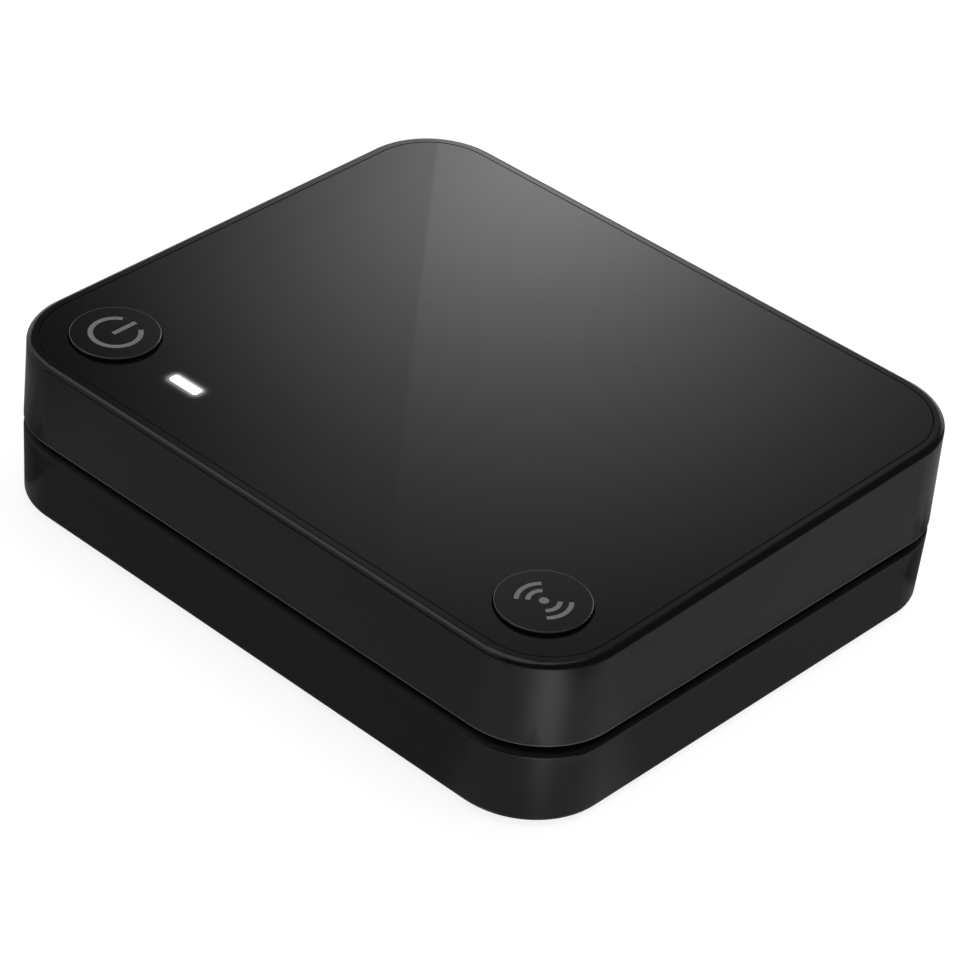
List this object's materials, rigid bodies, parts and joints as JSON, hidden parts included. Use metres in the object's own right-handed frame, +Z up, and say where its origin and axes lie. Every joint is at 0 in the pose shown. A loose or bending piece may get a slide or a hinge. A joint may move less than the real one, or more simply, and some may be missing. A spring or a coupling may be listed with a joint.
{
  "type": "wireless audio receiver",
  "caption": "Low rounded desktop wireless audio receiver with a slanting gloss top, power and pairing buttons, a light bar and rear audio and power sockets.",
  "frame": {"origin": "centre of the footprint, on the plane the feet rest on", "axes": "+Z up, -Y the front edge by the buttons, +Y the side with the sockets, +X to the right seen from the front"},
  "size_m": [0.09, 0.075, 0.0246],
  "materials": {
    "shell_black": "satin",
    "panel_black": "fine matte texture",
    "plate_gloss": "polished",
    "button_black": "polished, printed sign",
    "light_clear": "clear, lit from below",
    "adhesive_film": "matte film",
    "foam_black": "closed-cell foam",
    "lamp_white": "moulded",
    "board_green": "solder mask",
    "module_blue": "solder mask",
    "shield_tin": "tin plated",
    "copper": "bare copper",
    "switch_grey": "moulded",
    "switch_plunger": "moulded",
    "ribbon_white": "film",
    "socket_ivory": "moulded",
    "chip_black": "moulded",
    "capacitor_can": "bright",
    "ferrite_grey": "matte",
    "ceramic_tan": "matte",
    "port_black": "moulded",
    "tinned_contact": "tinned",
    "shutter_grey": "moulded",
    "pin_steel": "plain",
    "screw_black": "black oxide",
    "screw_zinc": "zinc plated",
    "foot_rubber": "matte"
  },
  "bodies": {
    "housing": {"top_shell": "shell_black", "base_shell": "shell_black", "rear_panel": "panel_black", "top_plate": "plate_gloss", "light_pipe": "light_clear", "plate_adhesive": "adhesive_film", "light_gasket": "foam_black", "status_led": "lamp_white", "control_board": "board_green", "main_board": "board_green", "radio_module": "module_blue", "radio_shield": "shield_tin", "antenna_trace": "copper", "power_switch": "switch_grey", "pair_switch": "switch_grey", "ribbon_cable": "ribbon_white", "ribbon_socket_upper": "socket_ivory", "ribbon_socket_lower": "socket_ivory", "audio_converter": "chip_black", "output_amplifier": "chip_black", "voltage_regulator": "chip_black", "filter_capacitors": "capacitor_can", "power_inductor": "ferrite_grey", "crystal": "shield_tin", "ceramic_capacitors": "ceramic_tan", "line_out_jack": "port_black", "line_out_contacts": "tinned_contact", "optical_out": "port_black", "shutter_pin": "pin_steel", "usb_socket": "shield_tin", "usb_tongue": "port_black", "case_screws": "screw_black", "control_board_screws": "screw_zinc", "main_board_screws": "screw_zinc", "rubber_feet": "foot_rubber"},
    "power_key": {"power_button": "button_black", "power_switch_plunger": "switch_plunger"},
    "pair_key": {"pair_button": "button_black", "pair_switch_plunger": "switch_plunger"},
    "shutter": {"optical_shutter": "shutter_grey"}
  },
  "joints": [
    {"name": "power_press", "type": "slide", "parent": "housing", "child": "power_key", "axis": [0, 0.0342, -0.9994], "range_m": [0, 0.00035], "stiffness_N_per_m": 2000, "springref_m": -0.0004},
    {"name": "pair_press", "type": "slide", "parent": "housing", "child": "pair_key", "axis": [0, 0.0342, -0.9994], "range_m": [0, 0.00035], "stiffness_N_per_m": 2000, "springref_m": -0.0004},
    {"name": "shutter_swing", "type": "hinge", "parent": "housing", "child": "shutter", "pos_m": [0, 0.0358, 0.01425], "axis": [-1, 0, 0], "range_deg": [0, 80], "stiffness_Nm_per_rad": 0.0001, "springref_deg": -34.38}
  ]
}
